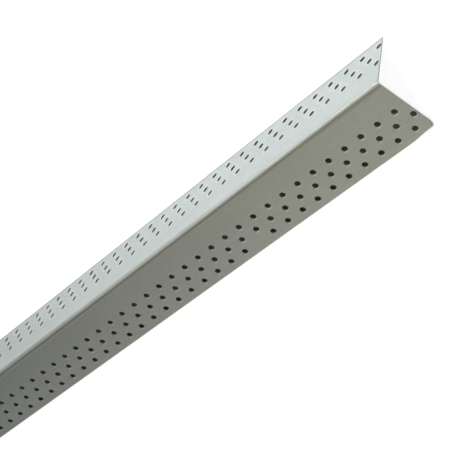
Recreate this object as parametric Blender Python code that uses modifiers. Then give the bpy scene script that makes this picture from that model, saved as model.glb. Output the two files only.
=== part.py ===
"""Perforated drywall corner bead: one strip of galvanised steel, punched, folded and cut to length.

The strip lies as a tent on its two flange edges, with its nose upwards. X runs along the length,
and the near end, which carries the nipped corner, is at +X. The strip is folded a little off its
middle, so the front flange, on the -Y side, is the narrower one. All lengths are in metres.

Every shape is worked out in the section's own frame and put in place at the end. Its origin is the
sharp corner at the fold's near end, where the planes of the two outer faces meet, and its Z axis
halves the angle between the flanges.
"""

import math

import bmesh
import bpy
from mathutils import Matrix, Vector

# Strip: its overall length, and the near end's cut, which the shears left off square
LENGTH = 1.000
SHEET = 0.00045
FRONT_WIDTH = 0.0337
BACK_WIDTH = 0.0353
INCLUDED_ANGLE = math.radians(86.0)
END_SKEW = math.radians(2.5)

# Nose: a rounded bead on two ramps that lift it a little proud of both flanges
NOSE_RADIUS = 0.0018
NOSE_FOOT = 0.0030
NOSE_RAMP = math.radians(12.0)
FOOT_RADIUS = 0.0020
NOSE_STEPS = 8
FOOT_STEPS = 2

# Punched holes, in rows along each flange, every second row set half a pitch along
HOLE_DIAMETER = 0.003
HOLE_SIDES = 4
HOLE_PITCH = 0.010
FRONT_FIRST_ROW = 0.0159
BACK_FIRST_ROW = 0.0171
ROW_SPACING = 0.0063
FRONT_LEAD = 0.0061
BACK_LEAD = 0.0032
PUNCH_MARGIN = 0.0003

# The punch that missed: the eleventh hole from the near end in the outermost row of the front flange
MISSED_PUNCH = 10

# The near corner of the front flange, nipped off: where the nip leaves the end and the edge, and its
# tip, set in from the edge and back from the end
CLIP_ON_END = 0.0045
CLIP_TIP_INSET = 0.0016
CLIP_TIP_BACK = 0.0007
CLIP_ON_EDGE = 0.0122

# How far a cutter reaches past the metal that it cuts
CUTTER_REACH = 0.002

STEEL_COLOUR = (0.58, 0.61, 0.61, 1.0)
STEEL_ROUGHNESS = 0.42

FRONT = -1
BACK = 1
WIDTH = {FRONT: FRONT_WIDTH, BACK: BACK_WIDTH}
FIRST_ROW = {FRONT: FRONT_FIRST_ROW, BACK: BACK_FIRST_ROW}
LEAD = {FRONT: FRONT_LEAD, BACK: BACK_LEAD}

HALF_ANGLE = INCLUDED_ANGLE / 2

# The flanges' slopes from the vertical, with the inner corners of both edges on the floor
FRONT_SLOPE = math.atan2(
    FRONT_WIDTH - BACK_WIDTH * math.cos(INCLUDED_ANGLE) - SHEET * math.sin(INCLUDED_ANGLE),
    BACK_WIDTH * math.sin(INCLUDED_ANGLE) - SHEET * math.cos(INCLUDED_ANGLE) - SHEET,
)
BACK_SLOPE = INCLUDED_ANGLE - FRONT_SLOPE
CORNER_HEIGHT = FRONT_WIDTH * math.cos(FRONT_SLOPE) + SHEET * math.sin(FRONT_SLOPE)
CORNER_Y = (FRONT_WIDTH * math.sin(FRONT_SLOPE) - BACK_WIDTH * math.sin(BACK_SLOPE)) / 2

# The skewed end reaches furthest on the front flange, where the nip starts
END_REACH = (FRONT_WIDTH - CLIP_ON_END) * math.tan(END_SKEW)
FOLD_LENGTH = LENGTH - END_REACH

# The place of the section's frame on the floor
SECTION_PLACE = Matrix.Translation((LENGTH / 2 - END_REACH, CORNER_Y, CORNER_HEIGHT)) @ Matrix.Rotation(
    BACK_SLOPE - HALF_ANGLE, 4, "X"
)


def end_setback(side, distance):
    """How far the near end lies behind its place at the fold, at a distance down one flange."""
    return side * distance * math.tan(END_SKEW)


def flange_frame(side):
    """The frame of a flange's outer face, at the fold's near end: X along the strip, Y to the edge."""
    along = Vector((1.0, 0.0, 0.0))
    down = Vector((0.0, side * math.sin(HALF_ANGLE), -math.cos(HALF_ANGLE)))
    square = along.cross(down)
    return Matrix((along, down, square)).transposed().to_4x4()


def half_profile(side):
    """The outer face from one flange's edge to the nose's crest, as (distance, y, z) points.

    A hollow arc at the foot turns the flange into the ramp. The nose's arc is tangent to the ramp
    and to its mirror image. The distance is how far down the flange a point lies from the fold.
    """
    frame = flange_frame(side)
    risen = [(WIDTH[side], 0.0)]
    arc_start = NOSE_FOOT + FOOT_RADIUS * math.tan(NOSE_RAMP / 2)
    for step in range(FOOT_STEPS + 1):
        angle = NOSE_RAMP * step / FOOT_STEPS
        distance = arc_start - FOOT_RADIUS * math.sin(angle)
        risen.append((distance, FOOT_RADIUS * (1 - math.cos(angle))))

    profile = []
    for distance, rise in risen:
        place = frame @ Vector((0.0, distance, side * rise))
        profile.append((distance, place.y, place.z))

    foot = frame @ Vector((0.0, NOSE_FOOT, 0.0))
    turn = math.pi / 2 - HALF_ANGLE + NOSE_RAMP
    centre_height = foot.z + (abs(foot.y) * math.sin(turn) - NOSE_RADIUS) / math.cos(turn)
    for step in range(NOSE_STEPS + 1):
        angle = turn * (1 - step / NOSE_STEPS)
        y = NOSE_RADIUS * math.sin(angle)
        z = centre_height + NOSE_RADIUS * math.cos(angle)
        profile.append((y / math.sin(HALF_ANGLE), side * y, z))
    return profile


def fold_strip():
    """The folded strip before punching: the open outer profile, drawn along X and given its sheet."""
    front_half = [(-distance, y, z) for distance, y, z in half_profile(FRONT)]
    profile = half_profile(BACK) + front_half[-2::-1]
    shape = bmesh.new()
    vertices = [shape.verts.new((-FOLD_LENGTH, y, z)) for distance, y, z in profile]
    edges = [shape.edges.new(pair) for pair in zip(vertices, vertices[1:])]
    drawn = bmesh.ops.extrude_edge_only(shape, edges=edges)["geom"]
    near_end = [item for item in drawn if isinstance(item, bmesh.types.BMVert)]
    for vertex, (distance, y, z) in zip(near_end, profile):
        vertex.co.x = -end_setback(BACK, distance)
    shape.normal_update()
    downwards = [face for face in shape.faces if face.normal.z < 0.0]
    bmesh.ops.reverse_faces(shape, faces=downwards)
    return mesh_object("corner_bead", shape, bead_collection)


def row_distances(side):
    """Distance of each row of holes from the sharp corner, as many rows as the flange holds."""
    distances = []
    distance = FIRST_ROW[side]
    while distance + HOLE_DIAMETER / 2 + PUNCH_MARGIN <= WIDTH[side]:
        distances.append(distance)
        distance += ROW_SPACING
    return distances


def holes_along(lead, setback):
    """Distances of a row's holes from the fold's near end: whole holes only, one pitch apart."""
    clear = HOLE_DIAMETER / 2 + PUNCH_MARGIN
    first = setback + clear + (lead - setback - clear) % HOLE_PITCH
    count = math.floor((FOLD_LENGTH - clear - first) / HOLE_PITCH) + 1
    return [first + HOLE_PITCH * index for index in range(count)]


def punch_flange(side):
    """One cutter that holds all the punches of a flange, each square to the sheet."""
    frame = flange_frame(side)
    # A punch has the area of the round hole, and a flat towards the end of the strip
    side_angle = 2 * math.pi / HOLE_SIDES
    radius = HOLE_DIAMETER / 2 * math.sqrt(side_angle / math.sin(side_angle))
    flat_to_end = Matrix.Rotation(side_angle / 2, 4, "Z")
    rows = row_distances(side)
    punches = bmesh.new()
    for row, distance in enumerate(rows):
        row_lead = LEAD[side] + (row % 2) * HOLE_PITCH / 2
        for index, from_end in enumerate(holes_along(row_lead, end_setback(side, distance))):
            if side == FRONT and row == len(rows) - 1 and index == MISSED_PUNCH:
                continue
            place = frame @ Matrix.Translation((-from_end, distance, 0.0)) @ flat_to_end
            bmesh.ops.create_cone(
                punches,
                cap_ends=True,
                segments=HOLE_SIDES,
                radius1=radius,
                radius2=radius,
                depth=2 * (SHEET + CUTTER_REACH),
                matrix=place,
            )
    name = "front_punches" if side == FRONT else "back_punches"
    return mesh_object(name, punches, cutter_collection)


def clip_corner():
    """The cutter that nips the near corner of the front flange, a prism square to the sheet."""
    past_end = END_REACH + CUTTER_REACH
    past_edge = FRONT_WIDTH + CUTTER_REACH
    outline = [
        (END_REACH, FRONT_WIDTH - CLIP_ON_END),
        (END_REACH - CLIP_TIP_BACK, FRONT_WIDTH - CLIP_TIP_INSET),
        (END_REACH - CLIP_ON_EDGE, FRONT_WIDTH),
        (END_REACH - CLIP_ON_EDGE, past_edge),
        (past_end, past_edge),
        (past_end, FRONT_WIDTH - CLIP_ON_END),
    ]
    depth = SHEET + CUTTER_REACH
    shape = bmesh.new()
    vertices = [shape.verts.new((x, y, -depth)) for x, y in outline]
    base = shape.faces.new(vertices)
    raised = bmesh.ops.extrude_face_region(shape, geom=[base])["geom"]
    top = [item for item in raised if isinstance(item, bmesh.types.BMVert)]
    bmesh.ops.translate(shape, verts=top, vec=(0.0, 0.0, 2 * depth))
    bmesh.ops.recalc_face_normals(shape, faces=shape.faces)
    bmesh.ops.transform(shape, matrix=flange_frame(FRONT), verts=shape.verts)
    return mesh_object("corner_clip", shape, cutter_collection)


def mesh_object(name, shape, collection):
    """A new object in a collection, from a bmesh in the section's frame that is used up."""
    bmesh.ops.transform(shape, matrix=SECTION_PLACE, verts=shape.verts)
    mesh = bpy.data.meshes.new(name)
    shape.to_mesh(mesh)
    shape.free()
    made = bpy.data.objects.new(name, mesh)
    collection.objects.link(made)
    if collection is cutter_collection:
        made.hide_render = True
        made.display_type = "WIRE"
    return made


def cut(target, cutter):
    """Takes a cutter's shape away from a piece."""
    modifier = target.modifiers.new(cutter.name, "BOOLEAN")
    modifier.operation = "DIFFERENCE"
    modifier.solver = "EXACT"
    modifier.object = cutter


def galvanised_steel():
    """The strip's zinc-coated steel."""
    steel = bpy.data.materials.new("galvanised_steel")
    steel.use_nodes = True
    shader = steel.node_tree.nodes["Principled BSDF"]
    shader.inputs["Base Color"].default_value = STEEL_COLOUR
    shader.inputs["Metallic"].default_value = 1.0
    shader.inputs["Roughness"].default_value = STEEL_ROUGHNESS
    return steel


def new_collection(name):
    """A collection linked to the scene."""
    collection = bpy.data.collections.new(name)
    bpy.context.scene.collection.children.link(collection)
    return collection


for leftover in list(bpy.data.objects):
    bpy.data.objects.remove(leftover, do_unlink=True)

bead_collection = new_collection("drywall_corner_bead")
cutter_collection = new_collection("cutters")

corner_bead = fold_strip()
corner_bead.data.materials.append(galvanised_steel())
corner_bead.data.shade_smooth()
corner_bead.data.set_sharp_from_angle(angle=math.radians(30.0))

sheet = corner_bead.modifiers.new("sheet", "SOLIDIFY")
sheet.thickness = SHEET
sheet.offset = -1.0
sheet.use_even_offset = True

cut(corner_bead, punch_flange(FRONT))
cut(corner_bead, punch_flange(BACK))
cut(corner_bead, clip_corner())
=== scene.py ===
"""Perforated drywall corner bead, dressed for the camera.

One strip of galvanised steel, punched in six rows and folded a little off its middle, lies as a tent
on a pale floor. The strip is worked out flat first: t runs back along it from the near end of the
fold, u runs down a flange from the fold, and w is the depth below the outer face. Then it is folded
and laid on its two edges.
"""

import logging
import math
from dataclasses import dataclass, field
from enum import Enum, IntEnum

import bmesh
import bpy
import numpy as np
from mathutils import Matrix, Vector


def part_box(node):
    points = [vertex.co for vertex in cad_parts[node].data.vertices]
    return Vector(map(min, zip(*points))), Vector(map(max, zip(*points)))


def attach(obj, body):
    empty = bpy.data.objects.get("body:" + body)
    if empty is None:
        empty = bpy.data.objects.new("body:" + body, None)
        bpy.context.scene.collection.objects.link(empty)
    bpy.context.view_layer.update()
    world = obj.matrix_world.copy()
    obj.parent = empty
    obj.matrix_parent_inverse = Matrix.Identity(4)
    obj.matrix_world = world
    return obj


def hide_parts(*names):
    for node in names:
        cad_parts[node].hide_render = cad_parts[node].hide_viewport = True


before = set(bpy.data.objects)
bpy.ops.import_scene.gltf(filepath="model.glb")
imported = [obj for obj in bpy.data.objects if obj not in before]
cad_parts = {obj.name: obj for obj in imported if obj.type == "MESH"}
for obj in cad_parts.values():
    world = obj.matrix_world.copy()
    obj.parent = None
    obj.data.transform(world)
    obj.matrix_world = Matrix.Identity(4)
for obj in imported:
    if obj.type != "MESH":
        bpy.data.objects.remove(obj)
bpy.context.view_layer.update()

log = logging.getLogger("corner_bead")

BODY = "root"
BEAD_NODE = "corner_bead"
STRIP_UV = "strip"
RIM_ATTRIBUTE = "rim"

MM = 0.001

Pair = tuple[float, float]
Triple = tuple[float, float, float]
Colour = tuple[float, float, float, float]
Array = np.ndarray
Socket = bpy.types.NodeSocket


class Side(Enum):
    """The two flanges, named by where they lie: the front one faces -Y."""

    FRONT = -1
    BACK = 1


class Skin(IntEnum):
    """The two materials of the strip, by material index."""

    ZINC = 0
    CUT = 1


@dataclass
class Patch:
    """A piece of surface: its points, what they carry, and the quads between them.

    Args:
        points: Array of n by 3 places in metres.
        flat: Array of n by 2 places on the flat strip, in metres, kept as the UV map.
        rim: Array of n values, up to 1 on a hole's worn edge and its painted highlight, and 0 away
            from it.
        quads: Array of m by 4 point numbers.
        skins: Array of m material indices.
    """

    points: Array
    flat: Array
    rim: Array
    quads: Array
    skins: Array


def grid_quads(rows: int, columns: int, closed: bool = False, copies: int = 1) -> Array:
    """Quads of grids of points, each numbered row by row and one grid after the other.

    Args:
        rows: Number of rows of points.
        columns: Number of points in each row.
        closed: True if the last column joins the first.
        copies: Number of such grids.

    Returns:
        Array of quads by 4 point numbers.
    """
    spans = columns if closed else columns - 1
    row, column = np.meshgrid(np.arange(rows - 1), np.arange(spans), indexing="ij")
    after = (column + 1) % columns
    corners = (row * columns + column, row * columns + after, (row + 1) * columns + after)
    last = (row + 1) * columns + column
    one = np.stack((*corners, last), axis=-1).reshape(-1, 4)
    starts = rows * columns * np.arange(copies)
    return (one + starts[:, None, None]).reshape(-1, 4)


def join_patches(patches: list[Patch]) -> Patch:
    """One patch that holds all of them, with their point numbers shifted.

    Args:
        patches: The patches to join.

    Returns:
        The joined patch.
    """
    starts = np.cumsum([0] + [len(patch.points) for patch in patches[:-1]])
    quads = [patch.quads + start for patch, start in zip(patches, starts)]
    return Patch(
        np.concatenate([patch.points for patch in patches]),
        np.concatenate([patch.flat for patch in patches]),
        np.concatenate([patch.rim for patch in patches]),
        np.concatenate(quads),
        np.concatenate([patch.skins for patch in patches]),
    )


def new_object(name: str, data: bpy.types.ID) -> bpy.types.Object:
    """An object for a mesh, a lamp or a camera, linked to the scene.

    Args:
        name: The object's name.
        data: What it shows.

    Returns:
        The new object.
    """
    made = bpy.data.objects.new(name, data)
    bpy.context.scene.collection.objects.link(made)
    return made


def mesh_from_patch(name: str, patch: Patch, merge: float, sharp_angle: float) -> bpy.types.Object:
    """A closed, smooth-shaded mesh object from a patch.

    Points that fall together are merged, which also removes the faces that have shrunk to a line.

    Args:
        name: The object's name.
        patch: The surface.
        merge: Points nearer to each other than this become one, in metres.
        sharp_angle: Edges that turn by more than this stay sharp, in radians.

    Returns:
        The new object, linked to the scene, with its place in its mesh.
    """
    mesh = bpy.data.meshes.new(name)
    mesh.from_pydata(patch.points.tolist(), [], patch.quads.tolist())
    mesh.polygons.foreach_set("material_index", patch.skins.astype(np.int32))
    uv_map = mesh.uv_layers.new(name=STRIP_UV)
    uv_map.data.foreach_set("uv", patch.flat[patch.quads.ravel()].astype(np.float32).ravel())
    rim = mesh.attributes.new(RIM_ATTRIBUTE, "FLOAT", "POINT")
    rim.data.foreach_set("value", patch.rim.astype(np.float32))

    shape = bmesh.new()
    shape.from_mesh(mesh)
    bmesh.ops.remove_doubles(shape, verts=shape.verts, dist=merge)
    bmesh.ops.dissolve_degenerate(shape, edges=shape.edges, dist=merge)
    loose = [vertex for vertex in shape.verts if not vertex.link_faces]
    bmesh.ops.delete(shape, geom=loose, context="VERTS")
    bmesh.ops.recalc_face_normals(shape, faces=shape.faces)
    open_edges = sum(1 for edge in shape.edges if len(edge.link_faces) != 2)
    shape.to_mesh(mesh)
    shape.free()
    mesh.shade_smooth()
    mesh.set_sharp_from_angle(angle=sharp_angle)

    mesh.calc_loop_triangles()
    log.info("%s: %d triangles, %d open edges", name, len(mesh.loop_triangles), open_edges)
    return new_object(name, mesh)


class NodeSheet:
    """A node tree under construction, with short calls to add and join its nodes."""

    def __init__(self, tree: bpy.types.NodeTree) -> None:
        """Keeps the tree that is being built."""
        self.tree = tree

    def add(self, kind: str, **settings: object) -> bpy.types.Node:
        """Adds a node.

        Args:
            kind: The node's type name.
            **settings: Attributes of the node, and input values under "inputs" by name or number.

        Returns:
            The new node.
        """
        node = self.tree.nodes.new(kind)
        for name, value in settings.pop("inputs", {}).items():
            node.inputs[name].default_value = value
        for name, value in settings.items():
            setattr(node, name, value)
        return node

    def join(self, source: Socket, target: Socket) -> None:
        """Links an output to an input."""
        self.tree.links.new(source, target)

    def feed(self, target: Socket, value: object) -> None:
        """Gives an input the value of another socket, or a plain one.

        Args:
            target: The input.
            value: A socket, or a number or colour.
        """
        if isinstance(value, Socket):
            self.join(value, target)
        else:
            target.default_value = value

    def maths(self, operation: str, *terms: object) -> Socket:
        """A Math node whose terms are sockets or plain numbers.

        Args:
            operation: The Math node's operation.
            *terms: Its inputs in order.

        Returns:
            Its output.
        """
        node = self.add("ShaderNodeMath", operation=operation)
        for socket, term in zip(node.inputs, terms):
            self.feed(socket, term)
        return node.outputs[0]

    def mix(self, share: Socket, first: object, second: object) -> Socket:
        """A blend of two colours, each a socket or plain.

        Args:
            share: The second colour's share, from 0 to 1.
            first: The first colour.
            second: The second colour.

        Returns:
            The blend's socket.
        """
        node = self.add("ShaderNodeMix", data_type="RGBA", clamp_factor=True)
        self.join(share, node.inputs["Factor"])
        self.feed(node.inputs["A"], first)
        self.feed(node.inputs["B"], second)
        return node.outputs["Result"]

    def ramp(self, value: Socket, span: Pair, out: Pair = (0.0, 1.0)) -> Socket:
        """Carries one span of values smoothly onto another.

        Args:
            value: The value to carry.
            span: Its two ends.
            out: What the two ends become.

        Returns:
            The carried value's socket.
        """
        node = self.add("ShaderNodeMapRange", interpolation_type="SMOOTHSTEP")
        self.join(value, node.inputs["Value"])
        limits = ("From Min", "From Max", "To Min", "To Max")
        for name, limit in zip(limits, (*span, *out)):
            node.inputs[name].default_value = limit
        return node.outputs["Result"]

    def stretched(self, strip: Socket, per_metre: Pair) -> Socket:
        """Coordinates of the flat strip, stretched along and across it.

        Args:
            strip: The coordinates.
            per_metre: Repeats per metre along and across the strip.

        Returns:
            The stretched coordinates' socket.
        """
        node = self.add("ShaderNodeMapping", inputs={"Scale": (*per_metre, 1.0)})
        self.join(strip, node.inputs["Vector"])
        return node.outputs["Vector"]

    def noise(self, strip: Socket, per_metre: Pair, octaves: Pair) -> Socket:
        """A noise texture on the flat strip.

        Args:
            strip: Coordinates on the flat strip.
            per_metre: Repeats per metre along and across the strip.
            octaves: Number of octaves, and the weight of each finer one.

        Returns:
            The noise value's socket, around 0.5.
        """
        detail, roughness = octaves
        values = {"Scale": 1.0, "Detail": detail, "Roughness": roughness}
        node = self.add("ShaderNodeTexNoise", inputs=values)
        self.join(self.stretched(strip, per_metre), node.inputs["Vector"])
        return node.outputs["Fac"]

    def bump(self, height: Socket, strength: float, distance: float) -> Socket:
        """A normal that follows a height.

        Args:
            height: The height.
            strength: How strongly the normal follows it, from 0 to 1.
            distance: How far a height of 1 stands out, in metres.

        Returns:
            The normal's socket.
        """
        node = self.add("ShaderNodeBump", inputs={"Strength": strength, "Distance": distance})
        self.join(height, node.inputs["Height"])
        return node.outputs["Normal"]


def new_material(name: str) -> tuple[bpy.types.Material, NodeSheet, bpy.types.Node]:
    """A material to build on.

    Args:
        name: The material's name.

    Returns:
        The material, its node tree under construction and its shader.
    """
    made = bpy.data.materials.new(name)
    made.use_nodes = True
    return made, NodeSheet(made.node_tree), made.node_tree.nodes["Principled BSDF"]


@dataclass(frozen=True)
class RolledGrain:
    """The fine streaks and pits that rolling leaves in a sheet, as a node group for both skins."""

    name: str = "rolled_grain"
    streaks_per_metre: Pair = (22.0, 1900.0)
    streak_octaves: Pair = (4.0, 0.6)
    pits_per_metre: Pair = (1500.0, 1500.0)
    pit_octaves: Pair = (3.0, 0.55)

    def group(self) -> bpy.types.NodeTree:
        """The group, whose relief varies over the surface, around nought.

        Returns:
            The node group, built once and then found by its name.
        """
        found = bpy.data.node_groups.get(self.name)
        if found:
            return found
        tree = bpy.data.node_groups.new(self.name, "ShaderNodeTree")
        face = tree.interface
        face.new_socket("Strip", in_out="INPUT", socket_type="NodeSocketVector")
        for name in ("Streaks", "Pits"):
            face.new_socket(name, in_out="INPUT", socket_type="NodeSocketFloat").default_value = 1.0
        face.new_socket("Relief", in_out="OUTPUT", socket_type="NodeSocketFloat")
        sheet = NodeSheet(tree)
        enter = sheet.add("NodeGroupInput")
        leave = sheet.add("NodeGroupOutput")
        strip = enter.outputs["Strip"]
        streaks = sheet.noise(strip, self.streaks_per_metre, self.streak_octaves)
        pits = sheet.noise(strip, self.pits_per_metre, self.pit_octaves)
        marks = []
        for name, noise in (("Streaks", streaks), ("Pits", pits)):
            centred = sheet.maths("SUBTRACT", noise, 0.5)
            marks.append(sheet.maths("MULTIPLY", centred, enter.outputs[name]))
        sheet.join(sheet.maths("ADD", *marks), leave.inputs["Relief"])
        return tree


@dataclass(frozen=True)
class ZincFinish:
    """Dull zinc on rolled sheet: cloudy, faintly spangled, streaked along the rolling.

    Colours are linear. The zinc is worn brighter round the back flange's holes, and a painted
    highlight brightens the outer side of the front flange's holes; painted shade darkens the nose's
    crest, the crease at its front foot and a band along the back flange's slit edge. Their spans are
    metres from the fold down the front flange, below 0 on the back one.
    """

    name: str = "zinc_face"
    pale: Colour = (0.585, 0.612, 0.612, 1.0)
    dull: Colour = (0.530, 0.552, 0.550, 1.0)
    metallic: float = 0.75
    roughness: Pair = (0.50, 0.58)

    spangles_per_metre: Pair = (420.0, 420.0)
    spangle_smoothness: float = 0.25
    clouds_per_metre: Pair = (16.0, 60.0)
    cloud_octaves: Pair = (5.0, 0.55)
    cloud_tone: float = 0.3
    flake_tone: float = 0.12
    grain_tone: float = 0.8
    colour_span: Pair = (0.25, 0.75)
    roughness_span: Pair = (0.2, 0.8)
    flake_relief: float = 0.15
    bump_strength: float = 0.6
    bump_distance: float = 0.000015

    # Zinc worn brighter, also the colour of the painted highlight on the holes' outer side.
    rub_and_highlight: Colour = (0.80, 0.815, 0.81, 1.0)
    rubbed_gloss: float = 0.10
    rim_rub_and_highlight_span: Pair = (0.55, 1.0)
    edge_wear: float = 0.0009
    edge_rub: float = 0.3
    patch_span: Pair = (0.30, 0.60)
    patch_rub: Pair = (0.45, 1.0)

    # Painted shade on the nose's crest and in the crease at its front foot.
    crest: Colour = (0.445, 0.428, 0.415, 1.0)
    crest_shade_span: Pair = (-0.0034, -0.0016)
    crest_shade_weight: float = 0.5
    crease: Colour = (0.350, 0.354, 0.328, 1.0)
    crease_shade_rise: Pair = (0.0014, 0.0022)
    crease_shade_fall: Pair = (0.0026, 0.0033)
    back_line: float = 0.0020

    def material(self, front: float, back: float) -> bpy.types.Material:
        """The material, whose pattern follows the flat strip.

        Args:
            front: The front flange's width, in metres.
            back: The back flange's width, in metres.

        Returns:
            The material.
        """
        made, sheet, shader = new_material(self.name)
        shader.inputs["Metallic"].default_value = self.metallic
        strip = sheet.add("ShaderNodeUVMap", uv_map=STRIP_UV).outputs["UV"]
        parts = sheet.add("ShaderNodeSeparateXYZ")
        sheet.join(strip, parts.inputs["Vector"])
        across = parts.outputs["Y"]

        spangle = sheet.add("ShaderNodeTexVoronoi", feature="SMOOTH_F1", inputs={"Scale": 1.0})
        spangle.inputs["Smoothness"].default_value = self.spangle_smoothness
        sheet.join(sheet.stretched(strip, self.spangles_per_metre), spangle.inputs["Vector"])
        flake = sheet.add("ShaderNodeSeparateColor")
        sheet.join(spangle.outputs["Color"], flake.inputs["Color"])
        clouds = sheet.noise(strip, self.clouds_per_metre, self.cloud_octaves)
        grain = sheet.add("ShaderNodeGroup", node_tree=RolledGrain().group())
        sheet.join(strip, grain.inputs["Strip"])
        relief = grain.outputs["Relief"]

        cloud = sheet.maths("SUBTRACT", clouds, 0.5)
        fleck = sheet.maths("SUBTRACT", flake.outputs["Red"], 0.5)
        tone = sheet.maths("MULTIPLY_ADD", cloud, self.cloud_tone, 0.5)
        tone = sheet.maths("MULTIPLY_ADD", fleck, self.flake_tone, tone)
        tone = sheet.maths("MULTIPLY_ADD", relief, self.grain_tone, tone)
        wear_and_highlight = self.wear_and_highlight_mask(sheet, across, clouds, front)
        crest, crease = self.nose_shade_masks(sheet, across, back)
        colour = sheet.mix(sheet.ramp(tone, self.colour_span), self.dull, self.pale)
        # Painted shade darkens the nose's crest and the crease at its front foot.
        colour = sheet.mix(crest, colour, self.crest)
        colour = sheet.mix(crease, colour, self.crease)
        # Worn zinc along the front edge and round the holes, and a painted highlight on the holes'
        # outer side.
        colour = sheet.mix(wear_and_highlight, colour, self.rub_and_highlight)
        sheet.join(colour, shader.inputs["Base Color"])

        smooth, rough = self.roughness
        roughness = sheet.ramp(tone, self.roughness_span, (rough, smooth))
        gloss = sheet.maths("MULTIPLY", wear_and_highlight, -self.rubbed_gloss)
        sheet.join(sheet.maths("ADD", roughness, gloss), shader.inputs["Roughness"])
        height = sheet.maths("MULTIPLY_ADD", flake.outputs["Green"], self.flake_relief, relief)
        normal = sheet.bump(height, self.bump_strength, self.bump_distance)
        sheet.join(normal, shader.inputs["Normal"])
        return made

    def wear_and_highlight_mask(self, sheet: NodeSheet, across: Socket, clouds: Socket, front: float) -> Socket:
        """Where the zinc is worn brighter along the front flange's slit edge and round the holes, and
        where a painted highlight brightens a hole's outer side.

        Args:
            sheet: The tree under construction.
            across: Distance from the fold on the flat strip, below 0 on the front flange.
            clouds: A slow noise that breaks the mask up.
            front: The front flange's width.

        Returns:
            The mask's socket, from 0 to 1.
        """
        edge = sheet.ramp(across, (-front, self.edge_wear - front), (self.edge_rub, 0.0))
        rim = sheet.add("ShaderNodeAttribute", attribute_name=RIM_ATTRIBUTE).outputs["Fac"]
        most = sheet.maths("MAXIMUM", edge, sheet.ramp(rim, self.rim_rub_and_highlight_span))
        return sheet.maths("MULTIPLY", most, sheet.ramp(clouds, self.patch_span, self.patch_rub))

    def nose_shade_masks(self, sheet: NodeSheet, across: Socket, back: float) -> tuple[Socket, Socket]:
        """Where painted shade darkens the zinc: on the nose's crest, and in the crease at its front
        foot.

        A band along the back flange's slit edge is darkened to the crease's colour and shares its
        mask.

        Args:
            sheet: The tree under construction.
            across: Distance from the fold on the flat strip, below 0 on the front flange.
            back: The back flange's width.

        Returns:
            The sockets of the crest's painted shade mask and the crease's, from 0 to at most 1.
        """
        from_fold = sheet.maths("MULTIPLY", across, -1.0)
        within = sheet.ramp(from_fold, self.crease_shade_fall, (1.0, 0.0))
        crest = sheet.ramp(from_fold, self.crest_shade_span, (0.0, self.crest_shade_weight))
        crease = sheet.maths("MULTIPLY", sheet.ramp(from_fold, self.crease_shade_rise), within)
        back_edge = sheet.ramp(across, (back - self.back_line, back))
        return sheet.maths("MULTIPLY", crest, within), sheet.maths("MAXIMUM", crease, back_edge)


@dataclass(frozen=True)
class CutFinish:
    """Sheared steel with zinc smeared over it, on the walls of the holes, the edges and the ends."""

    name: str = "cut_edge"
    bright: Colour = (0.33, 0.34, 0.335, 1.0)
    dark: Colour = (0.19, 0.195, 0.19, 1.0)
    metallic: float = 0.85
    roughness: Pair = (0.38, 0.55)
    marks_per_metre: Pair = (3000.0, 3000.0)
    mark_octaves: Pair = (3.0, 0.6)
    colour_span: Pair = (0.35, 0.65)
    roughness_span: Pair = (0.3, 0.7)
    streaks: float = 0.4
    pits: float = 2.0
    bump_strength: float = 0.5
    bump_distance: float = 0.00004

    def material(self) -> bpy.types.Material:
        """The material, whose pattern follows the flat strip.

        Returns:
            The material.
        """
        made, sheet, shader = new_material(self.name)
        shader.inputs["Metallic"].default_value = self.metallic
        strip = sheet.add("ShaderNodeUVMap", uv_map=STRIP_UV).outputs["UV"]
        marks = sheet.noise(strip, self.marks_per_metre, self.mark_octaves)
        colour = sheet.mix(sheet.ramp(marks, self.colour_span), self.dark, self.bright)
        sheet.join(colour, shader.inputs["Base Color"])
        roughness = sheet.ramp(marks, self.roughness_span, self.roughness)
        sheet.join(roughness, shader.inputs["Roughness"])
        grain = sheet.add("ShaderNodeGroup", node_tree=RolledGrain().group())
        grain.inputs["Streaks"].default_value = self.streaks
        grain.inputs["Pits"].default_value = self.pits
        sheet.join(strip, grain.inputs["Strip"])
        normal = sheet.bump(grain.outputs["Relief"], self.bump_strength, self.bump_distance)
        sheet.join(normal, shader.inputs["Normal"])
        return made


@dataclass(frozen=True)
class Flange:
    """One flange of the strip, in metres.

    Args:
        width: From the sharp corner, where both outer faces would meet, to the edge.
        first_row: From the sharp corner to the innermost row of holes.
        lead: From the fold's near end to the first hole of that row.
        skew: How far its near end is out of square, in radians.
        bow: How far the sheet sags inwards halfway down, below 0 if it bulges outwards.
        rollover: Width of the edge that the punch draws in round a hole.
        rim_rub_and_highlight: How bright a hole's edge is worn all round it, and how bright a painted
            highlight makes its outer side, from 0 to 1.
        missed_punch: The hole that is missing from the outermost row, or None.
    """

    width: float
    first_row: float
    lead: float
    skew: float
    bow: float
    rollover: float
    rim_rub_and_highlight: Pair
    missed_punch: int | None = None


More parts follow.
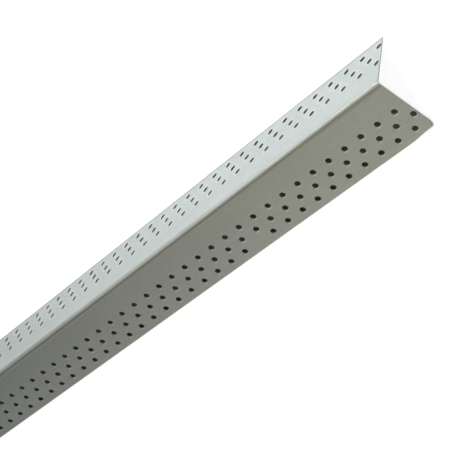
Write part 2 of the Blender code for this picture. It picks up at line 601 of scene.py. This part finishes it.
@dataclass
class CornerBead:
    """The folded and punched strip, in metres.

    Its length comes from the CAD node's box; the rest are the section's own sizes.
    """

    sheet: float = 0.45 * MM
    half_angle: float = math.radians(43.0)
    end_skew: float = math.radians(2.5)
    flanges: dict[Side, Flange] = field(
        default_factory=lambda: {
            Side.FRONT: Flange(
                width=33.7 * MM, first_row=15.9 * MM, lead=6.1 * MM, skew=math.radians(3.1),
                bow=-0.22 * MM, rollover=0.35 * MM, rim_rub_and_highlight=(0.0, 1.0), missed_punch=10,
            ),
            Side.BACK: Flange(
                width=35.3 * MM, first_row=17.1 * MM, lead=3.2 * MM, skew=math.radians(2.1),
                bow=0.12 * MM, rollover=0.20 * MM, rim_rub_and_highlight=(0.8, 0.0),
            ),
        }
    )

    nose_radius: float = 1.8 * MM
    nose_foot: float = 3.0 * MM
    nose_ramp: float = math.radians(12.0)
    foot_radius: float = 2.0 * MM
    nose_steps: int = 7
    foot_steps: int = 2

    hole_radius: float = 1.5 * MM
    pitch: float = 10.0 * MM
    row_spacing: float = 6.3 * MM
    rows: int = 3
    punch_margin: float = 0.3 * MM

    rollover_depth: float = 0.13 * MM
    burr: float = 0.03 * MM

    nip_on_end: float = 4.5 * MM
    nip_tip_inset: float = 1.6 * MM
    nip_tip_back: float = 0.7 * MM
    nip_on_edge: float = 12.2 * MM

    wave_mean: float = 0.75
    wave_swing: float = 0.125
    wave_phase: float = 1.3
    wave_lengths: Pair = (0.170, 0.061)

    lines_per_pitch: int = 4
    steps_across_row: int = 4
    band_lines: int = 4
    cells_before: int = 2
    merge: float = 0.002 * MM
    sharp_angle: float = math.radians(70.0)

    length: float = field(init=False)
    place: Matrix = field(init=False)

    def __post_init__(self) -> None:
        """Reads the length from the CAD node's box, and works out how the section lies."""
        low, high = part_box(BEAD_NODE)
        self.length = high[0] - low[0]
        self.place = self.section_place()

    def section_place(self) -> Matrix:
        """The place of the section's own frame, whose Z axis halves the fold's angle.

        Both edges touch the floor with their inner corners, and the box is centred on Y = 0. The
        tangent of the front flange's slope from the vertical is the width of the front flange
        less the back one's and the sheet's share along it, over their share across it.

        Returns:
            The matrix from the section's frame to the floor's.
        """
        front = self.flanges[Side.FRONT].width
        back = self.flanges[Side.BACK].width
        angle = 2 * self.half_angle
        along = front - back * math.cos(angle) - self.sheet * math.sin(angle)
        across = back * math.sin(angle) - self.sheet * math.cos(angle) - self.sheet
        slope = math.atan2(along, across)
        height = front * math.cos(slope) + self.sheet * math.sin(slope)
        shift = (front * math.sin(slope) - back * math.sin(angle - slope)) / 2
        corner = Matrix.Translation((self.length / 2 - self.end_reach, shift, height))
        return corner @ Matrix.Rotation(self.half_angle - slope, 4, "X")

    def laid(self, points: Array) -> Array:
        """Points of the section's frame, laid on the floor."""
        turn = np.array(self.place.to_3x3())
        return points @ turn.T + np.array(self.place.translation)

    @property
    def end_reach(self) -> float:
        """How far the solid's skewed end reaches past its fold, where the nip starts."""
        return (self.flanges[Side.FRONT].width - self.nip_on_end) * math.tan(self.end_skew)

    @property
    def end_setback(self) -> float:
        """How far the fold ends short of the solid's, whose ends share one mean skew."""
        front = self.flanges[Side.FRONT]
        return (front.width - self.nip_on_end) * math.tan(front.skew) - self.end_reach

    @property
    def fold_length(self) -> float:
        """The strip's length along the fold."""
        return self.length - self.end_reach

    @property
    def line_step(self) -> float:
        """Distance between the lines across the strip."""
        return self.pitch / self.lines_per_pitch

    @property
    def foot_start(self) -> float:
        """Distance from the fold at which the flange starts to rise to the nose."""
        return self.nose_foot + self.foot_radius * math.tan(self.nose_ramp / 2)

    def near_end(self, side: Side, u: Array) -> Array:
        """The near end's place at each distance from the fold: a skewed line, and the nip.

        Args:
            side: The flange.
            u: Distances from the fold.

        Returns:
            The end's t at each distance.
        """
        line = self.end_setback + side.value * u * math.tan(self.flanges[side].skew)
        if side is Side.BACK:
            return line
        width = self.flanges[side].width
        insets = (width - self.nip_on_end, width - self.nip_tip_inset, width)
        nip = np.interp(u, insets, (0.0, self.nip_tip_back, self.nip_on_edge)) - self.end_reach
        return np.where(u > insets[0], np.maximum(line, nip), line)

    def flange_edge(self, side: Side, t: Array) -> Array:
        """The flange's edge at each place along the strip: straight, but set in at the nip.

        Args:
            side: The flange.
            t: Places along the strip.

        Returns:
            The edge's distance from the fold.
        """
        width = self.flanges[side].width
        if side is Side.BACK:
            return np.full_like(t, width)
        tip, end = self.nip_tip_back - self.end_reach, self.nip_on_edge - self.end_reach
        return width - self.nip_tip_inset * np.interp(t, (tip, end), (1.0, 0.0))

    def wave(self, side: Side, t: Array, u: Array) -> Array:
        """How far a flange bows below its true plane, most of all halfway down.

        The depth is the flange's bow times a parabola across it, which is nought at the nose's foot
        and at the edge and one halfway, and times a factor along it: a mean and two slow sines, so
        that it stays between a half and one.

        Args:
            side: The flange.
            t: Places along the strip.
            u: Distances from the fold.

        Returns:
            The depth below the true plane, below 0 where the flange bulges outwards.
        """
        flange = self.flanges[side]
        share = np.clip((u - self.foot_start) / (flange.width - self.foot_start), 0.0, 1.0)
        long, short = self.wave_lengths
        phase = self.wave_phase * side.value
        swing = np.sin(2 * np.pi * t / long + phase) + np.sin(2 * np.pi * t / short - 2 * phase)
        along = self.wave_mean + self.wave_swing * swing
        return flange.bow * 4 * share * (1 - share) * along

    def fold(self, side: Side, t: Array, u: Array, w: Array) -> Array:
        """Folds points of a flat flange into place.

        A point lies u down the flange's slope from the fold and w below its outer face, and t back
        from the fold's near end. Points past an end are brought back to it.

        Args:
            side: The flange.
            t: Places along the strip.
            u: Distances from the fold.
            w: Depths below the outer face.

        Returns:
            The points, as an array of n by 3.
        """
        t = np.clip(t, self.near_end(side, u), self.fold_length)
        depth = w + self.wave(side, t, u)
        sine, cosine = math.sin(self.half_angle), math.cos(self.half_angle)
        y = side.value * (u * sine - depth * cosine)
        z = -u * cosine - depth * sine
        return self.laid(np.stack((-t, y, z), axis=-1))

    def row_distance(self, side: Side, row: int) -> float:
        """Distance of a row of holes from the fold."""
        return self.flanges[side].first_row + row * self.row_spacing

    def lines(self, side: Side) -> Array:
        """Places of the lines across a flange, evenly spaced from past one end to past the other.

        Args:
            side: The flange.

        Returns:
            The lines' t.
        """
        count = math.ceil(self.fold_length / self.line_step) + 2 * self.lines_per_pitch
        return self.flanges[side].lead + self.line_step * (np.arange(count) - self.lines_per_pitch)

    def flange_patch(
        self, side: Side, t: Array, u: Array, w: Array, quads: Array,
        skins: int | Array, rim: float | Array = 0.0,
    ) -> Patch:
        """A patch on a flange, from flat places that numpy can broadcast to one shape.

        Args:
            side: The flange.
            t: Places along the strip.
            u: Distances from the fold.
            w: Depths below the outer face.
            quads: The quads' point numbers.
            skins: The quads' material indices.
            rim: How much the points are worn brighter, and brightened by painted highlight, as a
                hole's edge, from 0 to 1.

        Returns:
            The folded patch.
        """
        t, u, w, rim = (values.ravel() for values in np.broadcast_arrays(t, u, w, rim))
        flat = np.stack((t, side.value * u), axis=-1)
        return Patch(self.fold(side, t, u, w), flat, rim, quads, np.broadcast_to(skins, len(quads)))

    def punched_cells(self, side: Side, row: int, centres: Array) -> Patch:
        """The sheet round each hole of a row, one pitch by one row spacing.

        Rings of points lead from the cell's border on the outer face, over the drawn-in edge, down
        the hole's wall and out to the border on the inner face. A ring's points are evenly spaced
        round the hole, or round the border.

        Args:
            side: The flange.
            row: The row's number, from the fold.
            centres: The holes' t.

        Returns:
            The patch of all these cells.
        """
        long, short = self.lines_per_pitch, self.steps_across_row
        around = 2 * (long + short)
        number = np.arange(around)
        turns = (0, short / 2, short / 2 + long, 1.5 * short + long, 1.5 * short + 2 * long, around)
        border_t = np.interp(number, turns, self.pitch / 2 * np.array((1, 1, -1, -1, 1, 1)))
        border_u = np.interp(number, turns, self.row_spacing / 2 * np.array((0, 1, 1, -1, -1, 0)))
        angle = 2 * np.pi * number / around
        flange = self.flanges[side]
        radii = self.hole_radius + np.array((flange.rollover, 0.0, 0.0))[:, None]
        ring_t = np.concatenate((border_t[None], radii * np.cos(angle), border_t[None]))
        ring_u = np.concatenate((border_u[None], radii * np.sin(angle), border_u[None]))
        depths = np.array((0.0, 0.0, self.rollover_depth, self.sheet + self.burr, self.sheet))

        # The edge is worn brighter all round, and its outer side brightened as a painted highlight.
        all_round, outside = flange.rim_rub_and_highlight
        rub_and_highlight = all_round + outside * np.clip(np.sin(angle), 0.0, 1.0)
        rim = np.stack((0 * rub_and_highlight, rub_and_highlight, rub_and_highlight, rub_and_highlight, 0 * rub_and_highlight))
        wall = np.repeat((Skin.ZINC, Skin.ZINC, Skin.CUT, Skin.ZINC), around)
        t = centres[:, None, None] + ring_t
        u = self.row_distance(side, row) + ring_u
        quads = grid_quads(len(depths), around, closed=True, copies=len(centres))
        return self.flange_patch(side, t, u, depths[:, None], quads, np.tile(wall, len(centres)), rim)

    def plain_cells(self, side: Side, row: int, centres: Array) -> Patch:
        """Cells of a row that have no hole: past its ends, and where the punch missed.

        Args:
            side: The flange.
            row: The row's number, from the fold.
            centres: The cells' middles.

        Returns:
            The patch of both faces of these cells.
        """
        along = np.linspace(-self.pitch / 2, self.pitch / 2, self.lines_per_pitch + 1)
        across = np.linspace(-self.row_spacing / 2, self.row_spacing / 2, self.steps_across_row + 1)
        t = centres[:, None, None, None] + along[:, None]
        depths = np.array((0.0, self.sheet))[:, None, None]
        quads = grid_quads(len(along), len(across), copies=len(centres) * len(depths))
        u = self.row_distance(side, row) + across
        return self.flange_patch(side, t, u, depths, quads, Skin.ZINC)

    def row_patches(self, side: Side, row: int) -> list[Patch]:
        """All cells of one row, punched or plain.

        Args:
            side: The flange.
            row: The row's number, from the fold.

        Returns:
            The row's patches.
        """
        count = math.ceil(self.fold_length / self.pitch) + self.cells_before + 1
        lead = self.flanges[side].lead + (row % 2) * self.pitch / 2
        centres = lead + self.pitch * (np.arange(count) - self.cells_before)
        clear = self.hole_radius + self.punch_margin
        start = self.near_end(side, np.array(self.row_distance(side, row))) + clear
        whole = (centres >= start) & (centres <= self.fold_length - clear)
        missed = self.flanges[side].missed_punch
        if missed is not None and row == self.rows - 1:
            whole[np.flatnonzero(whole)[missed]] = False
        log.info("%s row %d: %d holes", side.name.lower(), row + 1, whole.sum())
        punched = self.punched_cells(side, row, centres[whole])
        return [punched, self.plain_cells(side, row, centres[~whole])]

    def edge_band(self, side: Side) -> Patch:
        """The plain band outside the last row: its outer face, the slit edge and its inner face.

        Args:
            side: The flange.

        Returns:
            The band's patch.
        """
        t = self.lines(side)[:, None]
        inner = self.row_distance(side, self.rows - 1) + self.row_spacing / 2
        edge = self.flange_edge(side, t)
        u = np.concatenate((np.full_like(t, inner), edge, edge, np.full_like(t, inner)), axis=1)
        w = np.array((0.0, 0.0, self.sheet, self.sheet))
        skins = np.tile((Skin.ZINC, Skin.CUT, Skin.ZINC), len(t) - 1)
        return self.flange_patch(side, t, u, w, grid_quads(*u.shape), skins)

    def fold_lines(self, side: Side) -> Array:
        """A flange's lines as they reach the nose, where both flanges share the front one's.

        The back flange's lines slide along its plain band by what its holes are out of step.

        Args:
            side: The flange.

        Returns:
            The lines' t at the foot of the nose, numbered as `lines` numbers them.
        """
        lines = self.lines(side)
        step = self.line_step
        out_of_step = (self.lines(Side.FRONT)[0] - lines[0] + step / 2) % step - step / 2
        return lines + out_of_step

    def band_stops(self, side: Side) -> Array:
        """Distances from the fold at which the plain band has lines along it, from the foot out."""
        outer = self.row_distance(side, 0) - self.row_spacing / 2
        return np.linspace(self.foot_start, outer, self.band_lines)

    def plain_band(self, side: Side) -> list[Patch]:
        """The plain band between the nose and the first row, on both faces.

        Args:
            side: The flange.

        Returns:
            One patch for each face.
        """
        stops = self.band_stops(side)[::-1]
        share = (stops[0] - stops) / (stops[0] - stops[-1])
        t = self.lines(side)[:, None] * (1 - share) + self.fold_lines(side)[:, None] * share
        return [
            self.flange_patch(side, t, stops, depth, grid_quads(*t.shape), Skin.ZINC)
            for depth in (0.0, self.sheet)
        ]

    def half_nose(self) -> tuple[Array, Array, Array]:
        """The back half of the nose, from the flange to the crest, in the section's frame.

        A hollow arc turns the flange into the ramp, and a round one, tangent to the ramp and to its
        mirror image, leads over the crest. Each point keeps its outward normal, so that the inner
        face lies one sheet under the outer one everywhere.

        Returns:
            Distances from the fold, places as n by 2 of y and z, and normals as n by 2.
        """
        sine, cosine = math.sin(self.half_angle), math.cos(self.half_angle)
        down = np.array((sine, -cosine))
        out = np.array((cosine, sine))

        lift = self.nose_ramp * np.linspace(0.0, 1.0, self.foot_steps + 1)[:, None]
        run = self.foot_start - self.foot_radius * np.sin(lift)
        foot = run * down + self.foot_radius * (1 - np.cos(lift)) * out
        foot_normals = np.cos(lift) * out + np.sin(lift) * down

        turn = math.pi / 2 - self.half_angle + self.nose_ramp
        toe = self.nose_foot * down
        centre = toe[1] + (toe[0] * math.sin(turn) - self.nose_radius) / math.cos(turn)
        angle = turn * np.linspace(1.0, 0.0, self.nose_steps + 1)[:, None]
        round_normals = np.concatenate((np.sin(angle), np.cos(angle)), axis=1)
        crown = np.array((0.0, centre)) + self.nose_radius * round_normals

        distance = np.concatenate((run[:, 0], crown[:, 0] / sine))
        return distance, np.concatenate((foot, crown)), np.concatenate((foot_normals, round_normals))

    def nose_patch(self, side: Side, t: Array, depth: Array, skin: Skin) -> Patch:
        """A patch of the nose: its half section at each place along the fold.

        Args:
            side: The flange whose half of the nose this is.
            t: Places along the fold, as rows by 1, or already given for each point of the section.
            depth: Depths below the outer face, as rows by 1.
            skin: The patch's material.

        Returns:
            The patch.
        """
        distance, places, normals = self.half_nose()
        start = self.end_setback + side.value * distance * math.tan(self.flanges[side].skew)
        t = np.clip(t, start, self.fold_length)
        section = places - depth[..., None] * normals
        y = side.value * section[..., 0]
        points = self.laid(np.stack((-t, y, section[..., 1]), axis=-1))
        flat = np.stack((t, np.broadcast_to(side.value * distance, t.shape)), axis=-1)
        quads = grid_quads(*t.shape)
        skins = np.full(len(quads), skin)
        return Patch(points.reshape(-1, 3), flat.reshape(-1, 2), np.zeros(t.size), quads, skins)

    def nose_patches(self) -> list[Patch]:
        """The nose, carried along the fold: its outer and its inner face.

        Returns:
            One patch for each face and half.
        """
        patches = []
        for side in Side:
            t = self.fold_lines(side)[:, None]
            for depth in (0.0, self.sheet):
                patches.append(self.nose_patch(side, t, np.full_like(t, depth), Skin.ZINC))
        return patches

    def end_caps(self) -> list[Patch]:
        """The sheet's cut faces at both ends, from the outer face to the inner one.

        Returns:
            One patch for each end and flange, and for each half of the nose.
        """
        patches = []
        through = np.array((0.0, self.sheet))
        for side in Side:
            cells = np.arange(self.rows * self.steps_across_row + 1) / self.steps_across_row - 0.5
            rows = self.row_distance(side, 0) + self.row_spacing * cells
            for t in (-self.pitch, self.length):
                edge = self.flange_edge(side, np.array([t]))
                u = np.concatenate((self.band_stops(side)[:-1], rows, edge))[:, None]
                quads = grid_quads(len(u), len(through))
                patches.append(self.flange_patch(side, t, u, through, quads, Skin.CUT))
                patches.append(self.nose_patch(side, np.full((2, 1), t), through[:, None], Skin.CUT))
        return patches

    def build(self) -> bpy.types.Object:
        """Builds the strip's mesh, closed all round.

        Returns:
            The bead.
        """
        patches = self.nose_patches() + self.end_caps()
        for side in Side:
            patches += self.plain_band(side)
            patches.append(self.edge_band(side))
            for row in range(self.rows):
                patches += self.row_patches(side, row)
        bead = mesh_from_patch("perforated_bead", join_patches(patches), self.merge, self.sharp_angle)
        even = bead.modifiers.new("even_shading", "WEIGHTED_NORMAL")
        even.keep_sharp = True
        return bead

    def dress(self, bead: bpy.types.Object) -> None:
        """Gives the bead its two skins and ties it to the frame.

        Args:
            bead: The bead's object.
        """
        widths = (self.flanges[Side.FRONT].width, self.flanges[Side.BACK].width)
        bead.data.materials.append(ZincFinish().material(*widths))
        bead.data.materials.append(CutFinish().material())
        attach(bead, BODY)
        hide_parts(BEAD_NODE)


@dataclass(frozen=True)
class Softbox:
    """A square area lamp that faces a place along the bead, with a grid that may narrow its beam.

    Its size is in metres, its power in watts, and its spread is the beam's angle.
    """

    name: str
    place: Triple
    aim: float
    size: float
    power: float
    colour: Triple
    spread: float = math.pi

    def build(self) -> None:
        """Makes the lamp."""
        light = bpy.data.lights.new(self.name, "AREA")
        light.shape = "SQUARE"
        light.size = self.size
        light.energy = self.power
        light.color = self.colour
        light.spread = self.spread
        lamp = new_object(self.name, light)
        lamp.location = self.place
        facing = Vector((self.aim, 0.0, 0.0)) - Vector(self.place)
        lamp.rotation_euler = facing.to_track_quat("-Z", "Y").to_euler()


@dataclass(frozen=True)
class PhotoCamera:
    """The camera at the photograph's view, rolled so that the bead runs down to the left."""

    name: str = "photo_camera"
    place: Triple = (0.757335, -0.174797, 0.496737)
    target: Triple = (0.386273, -0.009349, 0.012758)
    roll: float = math.radians(-96.4788)
    lens: float = 106.223
    sensor: float = 36.0

    def build(self) -> None:
        """Makes the camera and hands it to the scene."""
        data = bpy.data.cameras.new(self.name)
        data.lens = self.lens
        data.sensor_width = self.sensor
        camera = new_object(self.name, data)
        camera.location = self.place
        facing = (Vector(self.target) - Vector(self.place)).to_track_quat("-Z", "Y").to_matrix()
        camera.rotation_euler = (facing @ Matrix.Rotation(self.roll, 3, "Z")).to_euler()
        bpy.context.scene.camera = camera


@dataclass(frozen=True)
class Sky:
    """Plain light from all round, which rises smoothly from a dim side to a bright one.

    Its colour goes by the cosine of a direction's angle to the bright side, over a span of cosines.
    """

    name: str = "soft_room"
    dim: Colour = (0.005, 0.005, 0.005, 1.0)
    bright: Colour = (0.023, 0.023, 0.022, 1.0)
    bright_side: Triple = (0.0, 0.35, 1.0)
    span: Pair = (-0.10, 1.0)

    def build(self) -> bpy.types.World:
        """Makes the world.

        Returns:
            The world.
        """
        world = bpy.data.worlds.new(self.name)
        world.use_nodes = True
        sheet = NodeSheet(world.node_tree)
        background = world.node_tree.nodes["Background"]
        background.inputs["Strength"].default_value = 1.0
        direction = sheet.add("ShaderNodeTexCoord").outputs["Generated"]
        turned = sheet.add("ShaderNodeVectorMath", operation="DOT_PRODUCT")
        sheet.join(direction, turned.inputs[0])
        turned.inputs[1].default_value = Vector(self.bright_side).normalized()
        light = sheet.mix(sheet.ramp(turned.outputs["Value"], self.span), self.dim, self.bright)
        sheet.join(light, background.inputs["Color"])
        return world


@dataclass(frozen=True)
class FloorPaper:
    """White paper, whose whiteness shows to the camera and in metal but lights nothing else.

    Under the bead it is a darker grey and gives no glow, painted shade so that the holes look into
    the dark. It is white again in a wedge that reaches in at the open near end, between two lines that
    meet under the fold: each is given by the direction across it and by its distance from the origin.
    """

    name: str = "floor_paper"
    colour: Colour = (0.45, 0.45, 0.45, 1.0)
    shaded: Colour = (0.26, 0.26, 0.245, 1.0)
    unlit: Colour = (0.0, 0.0, 0.0, 1.0)
    whiteness: Colour = (0.90, 0.90, 0.90, 1.0)
    roughness: float = 0.9
    feather: float = 0.002
    mouth: tuple[Triple, ...] = ((0.8960, 0.4440, 0.4377), (0.7758, -0.6310, 0.3706))
    mouth_feather: float = 0.0007

    def material(self, half_size: Pair) -> bpy.types.Material:
        """The material.

        Args:
            half_size: Half of the bead's length and half of its width, in metres.

        Returns:
            The material.
        """
        made, sheet, shader = new_material(self.name)
        shader.inputs["Roughness"].default_value = self.roughness
        shader.inputs["Specular IOR Level"].default_value = 0.0
        shader.inputs["Emission Strength"].default_value = 1.0
        # Painted shade: under the bead the paper is darker and gives no glow.
        covered = self.covered_mask(sheet, half_size)
        sheet.join(sheet.mix(covered, self.colour, self.shaded), shader.inputs["Base Color"])
        path = sheet.add("ShaderNodeLightPath")
        seen = sheet.maths("MAXIMUM", path.outputs["Is Camera Ray"], path.outputs["Is Glossy Ray"])
        seen = sheet.maths("MAXIMUM", seen, path.outputs["Is Transmission Ray"])
        white = sheet.maths("MULTIPLY", seen, sheet.maths("SUBTRACT", 1.0, covered))
        glow = sheet.mix(white, self.unlit, self.whiteness)
        sheet.join(glow, shader.inputs["Emission Color"])
        return made

    def covered_mask(self, sheet: NodeSheet, half_size: Pair) -> Socket:
        """Where the floor gets its painted shade: under the bead, but for the wedge at its open end.

        Args:
            sheet: The tree under construction.
            half_size: Half of the bead's length and half of its width, in metres.

        Returns:
            The mask's socket, from 0 to 1.
        """
        place = sheet.add("ShaderNodeSeparateXYZ")
        sheet.join(sheet.add("ShaderNodeTexCoord").outputs["Object"], place.inputs["Vector"])
        under = []
        for axis, half in zip("XY", half_size):
            from_middle = sheet.maths("ABSOLUTE", place.outputs[axis])
            under.append(sheet.ramp(from_middle, (half - self.feather, half), (1.0, 0.0)))
        wedge = []
        for across_x, across_y, distance in self.mouth:
            across = sheet.maths("MULTIPLY", place.outputs["Y"], across_y)
            beyond = sheet.maths("MULTIPLY_ADD", place.outputs["X"], across_x, across)
            wedge.append(sheet.ramp(beyond, (distance, distance + self.mouth_feather)))
        outside = sheet.maths("SUBTRACT", 1.0, sheet.maths("MULTIPLY", *wedge))
        return sheet.maths("MULTIPLY", sheet.maths("MULTIPLY", *under), outside)


@dataclass
class Studio:
    """The pale floor, the soft light and the camera."""

    floor_size: float = 12.0
    floor_drop: float = 0.0001
    lamps: tuple[Softbox, ...] = (
        Softbox(
            "back_softbox", place=(0.20, 0.95, 0.85), aim=0.48, size=0.7, power=0.91,
            colour=(0.93, 1.0, 1.0), spread=math.radians(40.0),
        ),
        Softbox(
            "low_softbox", place=(0.30, 0.80, 0.30), aim=0.47, size=0.6, power=0.26,
            colour=(0.87, 1.0, 1.03), spread=math.radians(60.0),
        ),
        Softbox(
            "top_softbox", place=(0.50, -0.05, 0.70), aim=0.47, size=0.3, power=0.16,
            colour=(1.13, 1.0, 0.76), spread=math.radians(60.0),
        ),
        Softbox(
            "far_softbox", place=(-0.10, 0.05, 0.75), aim=0.35, size=0.6, power=1.55,
            colour=(0.91, 1.0, 0.88),
        ),
        Softbox(
            "warm_fill", place=(0.34, -0.40, 0.20), aim=0.42, size=0.25, power=0.154,
            colour=(1.05, 1.0, 0.64),
        ),
    )

    def floor(self) -> None:
        """Makes the floor, a large square just under the bead."""
        half = self.floor_size / 2
        corners = np.array([(-half, -half), (half, -half), (half, half), (-half, half)])
        points = np.column_stack((corners, np.full(4, -self.floor_drop)))
        mesh = bpy.data.meshes.new("floor")
        mesh.from_pydata(points.tolist(), [], [(0, 1, 2, 3)])
        _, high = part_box(BEAD_NODE)
        mesh.materials.append(FloorPaper().material((high[0], high[1])))
        new_object("floor", mesh)

    def build(self) -> None:
        """Builds the whole setting."""
        self.floor()
        bpy.context.scene.world = Sky().build()
        for lamp in self.lamps:
            lamp.build()
        PhotoCamera().build()
        bpy.context.scene.view_settings.view_transform = "Standard"


def main() -> None:
    """Builds the bead and the studio, and reports the bead."""
    logging.basicConfig(level=logging.INFO, format="%(name)s: %(message)s")
    maker = CornerBead()
    bead = maker.build()
    maker.dress(bead)
    log.info("%s replaces %s", bead.name, BEAD_NODE)
    Studio().build()


if __name__ == "__main__":
    main()
